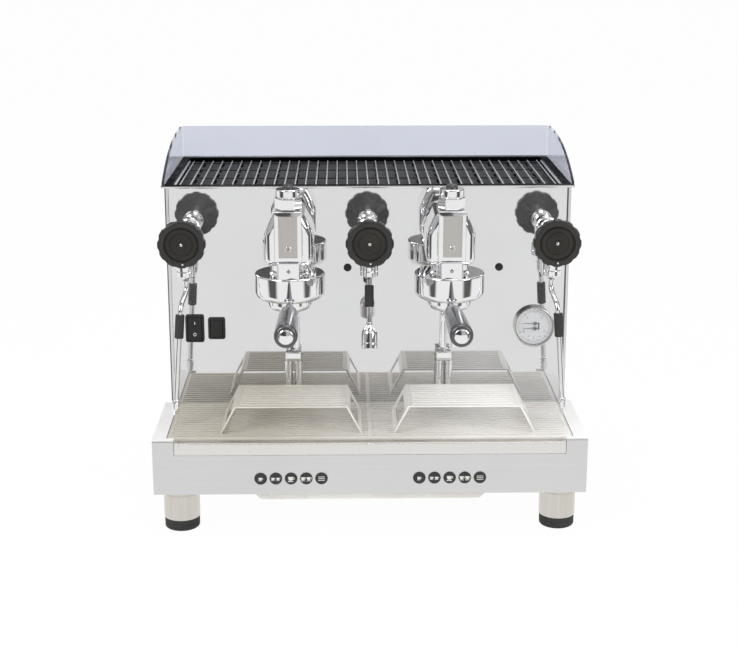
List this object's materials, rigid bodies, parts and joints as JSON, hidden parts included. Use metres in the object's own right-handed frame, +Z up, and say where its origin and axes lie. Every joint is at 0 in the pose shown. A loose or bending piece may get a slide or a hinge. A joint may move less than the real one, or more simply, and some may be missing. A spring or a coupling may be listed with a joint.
{
  "type": "espresso machine",
  "caption": "Two-group push-button espresso machine with bell-shaped brew groups, swivelling steam wands, a hot-water tap, a slatted drip tray, cup risers and a railed cup-warming top.",
  "frame": {"origin": "middle of the footprint on the surface the machine stands on", "axes": "+Z up, -Y towards the user, +X to the viewer's right"},
  "size_m": [0.64, 0.6032, 0.5503],
  "materials": {
    "mirror_steel": "polished stainless steel, mirror bright",
    "brushed_steel": "brushed stainless steel",
    "chrome": "chrome plate",
    "satin_nickel": "satin nickel",
    "foot_steel": "satin steel sleeve over a black rubber pad",
    "guard_sheet": "tinted clear acrylic sheet",
    "button_black": "black plastic",
    "switch_black": "black moulded plastic",
    "wheel_black": "black moulded plastic",
    "gland_black": "black moulded plastic",
    "gauge": "white dial in a plated bezel",
    "needle_black": "black enamel",
    "handle_grey": "glossy grey metallic lacquer",
    "copper": "copper",
    "pump_grey": "grey cast casing"
  },
  "bodies": {
    "machine": {"base_frame": "brushed_steel", "cable_gland": "gland_black", "drain_box": "brushed_steel", "foot_front_left": "foot_steel", "foot_front_right": "foot_steel", "foot_rear_left": "foot_steel", "foot_rear_right": "foot_steel", "side_panel_left": "mirror_steel", "side_panel_right": "mirror_steel", "front_panel": "mirror_steel", "rear_panel": "brushed_steel", "cup_tray": "brushed_steel", "cup_guard": "guard_sheet", "main_switch_housing": "switch_black", "side_switch_housing": "switch_black", "gauge_case": "gauge", "group_body_left": "chrome", "group_body_right": "chrome", "group_cover_left": "satin_nickel", "group_cover_right": "satin_nickel", "drain_pipes_left": "chrome", "drain_pipes_right": "chrome", "tap_body_left": "chrome", "tap_body_centre": "chrome", "tap_body_right": "chrome", "boiler": "copper", "pump_set": "pump_grey"},
    "drip_tray": {"drip_tray": "brushed_steel", "drip_tray_front": "brushed_steel"},
    "drip_grid": {"drip_grid": "brushed_steel"},
    "cup_riser_left": {"cup_riser_left": "brushed_steel"},
    "cup_riser_right": {"cup_riser_right": "brushed_steel"},
    "cup_grid": {"cup_grid": "chrome"},
    "button_left_1": {"button_left_1": "button_black"},
    "button_left_2": {"button_left_2": "button_black"},
    "button_left_3": {"button_left_3": "button_black"},
    "button_left_4": {"button_left_4": "button_black"},
    "button_left_5": {"button_left_5": "button_black"},
    "button_right_1": {"button_right_1": "button_black"},
    "button_right_2": {"button_right_2": "button_black"},
    "button_right_3": {"button_right_3": "button_black"},
    "button_right_4": {"button_right_4": "button_black"},
    "button_right_5": {"button_right_5": "button_black"},
    "main_switch_rocker": {"main_switch_rocker": "switch_black"},
    "side_switch_rocker": {"side_switch_rocker": "switch_black"},
    "gauge_needle_upper": {"gauge_needle_upper": "needle_black"},
    "gauge_needle_lower": {"gauge_needle_lower": "needle_black"},
    "portafilter_left": {"portafilter_left": "chrome", "handle_left": "handle_grey"},
    "portafilter_right": {"portafilter_right": "chrome", "handle_right": "handle_grey"},
    "handwheel_left": {"handwheel_left": "wheel_black"},
    "handwheel_centre": {"handwheel_centre": "wheel_black"},
    "handwheel_right": {"handwheel_right": "wheel_black"},
    "wand_ball_left": {"wand_ball_left": "chrome"},
    "wand_ball_centre": {"wand_ball_centre": "chrome"},
    "wand_ball_right": {"wand_ball_right": "chrome"},
    "steam_wand_left": {"steam_wand_left": "chrome"},
    "steam_wand_right": {"steam_wand_right": "chrome"},
    "water_wand": {"water_wand": "chrome"}
  },
  "joints": [
    {"name": "drip_tray_slide", "type": "slide", "parent": "machine", "child": "drip_tray", "axis": [0, -1, 0], "range_m": [0, 0.16]},
    {"name": "drip_grid_lift", "type": "slide", "parent": "machine", "child": "drip_grid", "axis": [0, 0, 1], "range_m": [0, 0.012]},
    {"name": "riser_left_lift", "type": "slide", "parent": "drip_grid", "child": "cup_riser_left", "axis": [0, 0, 1], "range_m": [0, 0.03]},
    {"name": "riser_right_lift", "type": "slide", "parent": "drip_grid", "child": "cup_riser_right", "axis": [0, 0, 1], "range_m": [0, 0.03]},
    {"name": "cup_grid_lift", "type": "slide", "parent": "machine", "child": "cup_grid", "axis": [0, 0, 1], "range_m": [0, 0.03]},
    {"name": "button_left_1_press", "type": "slide", "parent": "machine", "child": "button_left_1", "axis": [0, 1, 0], "range_m": [0, 0.0015], "stiffness_N_per_m": 300},
    {"name": "button_left_2_press", "type": "slide", "parent": "machine", "child": "button_left_2", "axis": [0, 1, 0], "range_m": [0, 0.0015], "stiffness_N_per_m": 300},
    {"name": "button_left_3_press", "type": "slide", "parent": "machine", "child": "button_left_3", "axis": [0, 1, 0], "range_m": [0, 0.0015], "stiffness_N_per_m": 300},
    {"name": "button_left_4_press", "type": "slide", "parent": "machine", "child": "button_left_4", "axis": [0, 1, 0], "range_m": [0, 0.0015], "stiffness_N_per_m": 300},
    {"name": "button_left_5_press", "type": "slide", "parent": "machine", "child": "button_left_5", "axis": [0, 1, 0], "range_m": [0, 0.0015], "stiffness_N_per_m": 300},
    {"name": "button_right_1_press", "type": "slide", "parent": "machine", "child": "button_right_1", "axis": [0, 1, 0], "range_m": [0, 0.0015], "stiffness_N_per_m": 300},
    {"name": "button_right_2_press", "type": "slide", "parent": "machine", "child": "button_right_2", "axis": [0, 1, 0], "range_m": [0, 0.0015], "stiffness_N_per_m": 300},
    {"name": "button_right_3_press", "type": "slide", "parent": "machine", "child": "button_right_3", "axis": [0, 1, 0], "range_m": [0, 0.0015], "stiffness_N_per_m": 300},
    {"name": "button_right_4_press", "type": "slide", "parent": "machine", "child": "button_right_4", "axis": [0, 1, 0], "range_m": [0, 0.0015], "stiffness_N_per_m": 300},
    {"name": "button_right_5_press", "type": "slide", "parent": "machine", "child": "button_right_5", "axis": [0, 1, 0], "range_m": [0, 0.0015], "stiffness_N_per_m": 300},
    {"name": "main_switch_rock", "type": "hinge", "parent": "machine", "child": "main_switch_rocker", "pos_m": [-0.27, 0.00025, 0.274], "axis": [1, 0, 0], "range_deg": [0, 14]},
    {"name": "side_switch_rock", "type": "hinge", "parent": "machine", "child": "side_switch_rocker", "pos_m": [-0.2361, 0.00025, 0.274], "axis": [1, 0, 0], "range_deg": [0, 14]},
    {"name": "gauge_upper_turn", "type": "hinge", "parent": "machine", "child": "gauge_needle_upper", "pos_m": [0.2597, -0.0043, 0.2806], "axis": [0, 1, 0], "range_deg": [0, 120]},
    {"name": "gauge_lower_turn", "type": "hinge", "parent": "machine", "child": "gauge_needle_lower", "pos_m": [0.2597, -0.0056, 0.273], "axis": [0, -1, 0], "range_deg": [0, 120]},
    {"name": "portafilter_left_lock", "type": "hinge", "parent": "machine", "child": "portafilter_left", "pos_m": [-0.117, -0.11335, 0.352], "axis": [0, 0, -1], "range_deg": [0, 45]},
    {"name": "portafilter_right_lock", "type": "hinge", "parent": "machine", "child": "portafilter_right", "pos_m": [0.117, -0.11335, 0.352], "axis": [0, 0, -1], "range_deg": [0, 46.5]},
    {"name": "handwheel_left_turn", "type": "hinge", "parent": "machine", "child": "handwheel_left", "pos_m": [-0.2735, -0.12235, 0.4325], "axis": [0, -1, 0], "range_deg": [0, 270]},
    {"name": "handwheel_centre_turn", "type": "hinge", "parent": "machine", "child": "handwheel_centre", "pos_m": [0, -0.12235, 0.4325], "axis": [0, -1, 0], "range_deg": [0, 270]},
    {"name": "handwheel_right_turn", "type": "hinge", "parent": "machine", "child": "handwheel_right", "pos_m": [0.2735, -0.12235, 0.4325], "axis": [0, -1, 0], "range_deg": [0, 270]},
    {"name": "wand_left_swivel", "type": "hinge", "parent": "machine", "child": "wand_ball_left", "pos_m": [-0.2735, -0.06835, 0.377], "axis": [0, 0, -1], "range_deg": [-45, 80]},
    {"name": "wand_left_tilt", "type": "hinge", "parent": "wand_ball_left", "child": "steam_wand_left", "pos_m": [-0.2735, -0.06835, 0.377], "axis": [-1, 0, 0], "range_deg": [-6, 40]},
    {"name": "wand_right_swivel", "type": "hinge", "parent": "machine", "child": "wand_ball_right", "pos_m": [0.2735, -0.06835, 0.377], "axis": [0, 0, 1], "range_deg": [-45, 80]},
    {"name": "wand_right_tilt", "type": "hinge", "parent": "wand_ball_right", "child": "steam_wand_right", "pos_m": [0.2735, -0.06835, 0.377], "axis": [-1, 0, 0], "range_deg": [-6, 40]},
    {"name": "water_wand_swivel", "type": "hinge", "parent": "machine", "child": "wand_ball_centre", "pos_m": [0, -0.06835, 0.377], "axis": [0, 0, 1], "range_deg": [-50, 50]},
    {"name": "water_wand_tilt", "type": "hinge", "parent": "wand_ball_centre", "child": "water_wand", "pos_m": [0, -0.06835, 0.377], "axis": [-1, 0, 0], "range_deg": [-20, 25]}
  ]
}
